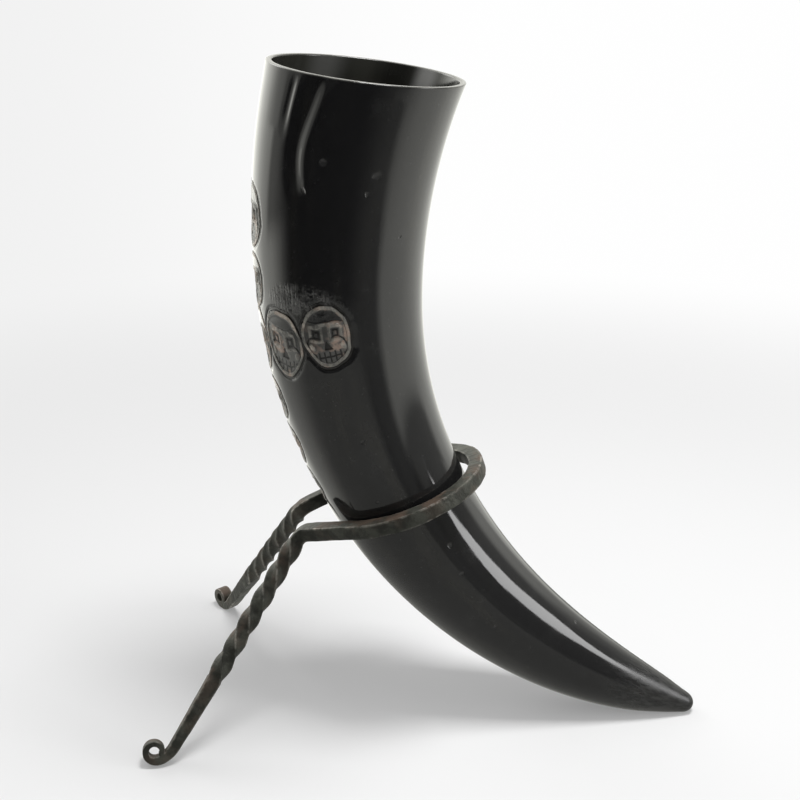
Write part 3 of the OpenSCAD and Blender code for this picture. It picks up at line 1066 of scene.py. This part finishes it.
class MakeFeet(bpy.types.Operator):
    """Rolls the thinned end of each leg into its scroll"""
    bl_idname = "drinking_horn.make_feet"
    bl_label = "Scroll feet"

    def execute(self, context):
        sizes = context.scene.stand_sizes
        form = StandForm(sizes, context.scene.horn_sizes)
        for side, name in SIDES:
            forge_piece(sizes, name + "_scroll_bar", name + "_scroll_foot",
                        form.scroll_stations(side))
        return {"FINISHED"}


class SetStage(bpy.types.Operator):
    """Lays the pale floor, hangs the lamps and sets up the camera"""
    bl_idname = "drinking_horn.set_stage"
    bl_label = "Stage"

    def lamp(self, name, place, aim, size, watts, roll=0):
        """Hangs a soft rectangular lamp that faces its aim"""
        data = bpy.data.lights.new(name, "AREA")
        data.shape = "RECTANGLE"
        data.size, data.size_y = size
        data.energy = watts
        lamp = bpy.data.objects.new(name, data)
        lamp.location = place
        facing = (Vector(place) - Vector(aim)).to_track_quat("Z", "Y").to_matrix()
        lamp.rotation_euler = (facing @ Matrix.Rotation(radians(roll), 3, "Z")).to_euler()
        bpy.context.collection.objects.link(lamp)

    def room(self, sizes):
        """White round the back, darker behind the camera, and plain light from all round"""
        world = bpy.data.worlds.new("studio_room")
        bpy.context.scene.world = world
        f = Finish(world)
        direction = f.node("ShaderNodeTexCoord", {}, {}).outputs["Generated"]
        x, y, z = f.split(direction)
        seen, mirrored = f.rays()
        turn, left = f.compass(x, y)
        right_wall = f.rises(turn, (0, 40, 0.08), (60, 100, 0.25), (142, 178, 0.6)) \
            + turn.between(108, 122) * (1.0 - turn.between(124, 142) * 0.45) \
            * (1.0 - z.between(0.2, 0.38) * 0.75) * 0.85
        left_wall = f.rises(left, (58, 75, 0.45), (80, 96, 0.55)) \
            + left.between(95, 125) * (1.0 - left.between(135, 178) * 0.7) * 1.3
        tone = sizes.room_front + right_wall + left_wall
        white = f.mixed(x.between(-0.46, -0.06), sizes.backdrop_left, sizes.backdrop)
        plain = f.mixed(seen, (sizes.fill,) * 3, white)
        shader = f.node("ShaderNodeBackground", {}, {
            "Color": f.mixed(mirrored, plain, f.glow(tone))})
        f.node("ShaderNodeOutputWorld", {}, {"Surface": shader.outputs[0]})

    def execute(self, context):
        sizes = context.scene.stage_sizes
        bm = bmesh.new()
        bmesh.ops.create_grid(bm, x_segments=2, y_segments=2, size=sizes.floor_size)
        floor = smooth_mesh(bm, "floor")
        floor.data.materials.append(floor_finish(sizes))

        self.room(sizes)
        self.lamp("top_softbox", (0.15, -0.01, 0.96), (0.03, 0, 0), (0.27, 0.27), 7.6)
        self.lamp("left_softbox", (-0.80, 0.48, 0.80), (0.0, 0.0, 0.12), (0.5, 0.5), 2.2)
        self.lamp("right_softbox", (1.040, -0.176, 0.387), (0.05, -0.01, 0.08),
                  (0.28, 0.49), 3.0, roll=-36)

        aim = Vector((sizes.aim_x, 0, sizes.aim_z))
        back = Vector((sin(sizes.azimuth) * cos(sizes.elevation),
                       -cos(sizes.azimuth) * cos(sizes.elevation), sin(sizes.elevation)))
        data = bpy.data.cameras.new("camera")
        data.lens = sizes.lens
        data.sensor_width = 36
        data.clip_start = 0.01
        data.clip_end = 60
        camera = bpy.data.objects.new("camera", data)
        camera.location = aim + back * sizes.distance
        camera.rotation_euler = back.to_track_quat("Z", "Y").to_euler()
        bpy.context.collection.objects.link(camera)
        bpy.context.scene.camera = camera
        bpy.context.scene.view_settings.view_transform = "Standard"
        return {"FINISHED"}


class DrinkingHornPanel(bpy.types.Panel):
    """Lists the pieces of the drinking horn and its stand"""
    bl_idname = "VIEW3D_PT_drinking_horn"
    bl_label = "Drinking Horn"
    bl_space_type = "VIEW_3D"
    bl_region_type = "UI"
    bl_category = "Drinking Horn"

    def draw(self, context):
        layout = self.layout
        for maker in MAKERS:
            layout.operator(maker.bl_idname, text=maker.bl_label)
        for sizes in (context.scene.horn_sizes, context.scene.stand_sizes,
                      context.scene.stage_sizes):
            column = layout.column(heading=type(sizes).__doc__)
            for name in sizes.bl_rna.properties.keys():
                if name not in ("rna_type", "name"):
                    column.prop(sizes, name)


MAKERS = (MakeHorn, MakeHoop, MakeLegs, MakeFeet, SetStage)
CLASSES = (HornSizes, StandSizes, StageSizes, *MAKERS, DrinkingHornPanel)


def register():
    for item in CLASSES:
        bpy.utils.register_class(item)
    bpy.types.Scene.horn_sizes = PointerProperty(type=HornSizes)
    bpy.types.Scene.stand_sizes = PointerProperty(type=StandSizes)
    bpy.types.Scene.stage_sizes = PointerProperty(type=StageSizes)


def unregister():
    del bpy.types.Scene.stage_sizes
    del bpy.types.Scene.stand_sizes
    del bpy.types.Scene.horn_sizes
    for item in reversed(CLASSES):
        bpy.utils.unregister_class(item)


def main():
    register()
    bpy.ops.drinking_horn.make_horn()
    bpy.ops.drinking_horn.make_hoop()
    bpy.ops.drinking_horn.make_legs()
    bpy.ops.drinking_horn.make_feet()
    bpy.ops.drinking_horn.set_stage()

    def box(corners):
        return [list(corner) for corner in corners]

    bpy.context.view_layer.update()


if __name__ == "__main__":
    main()
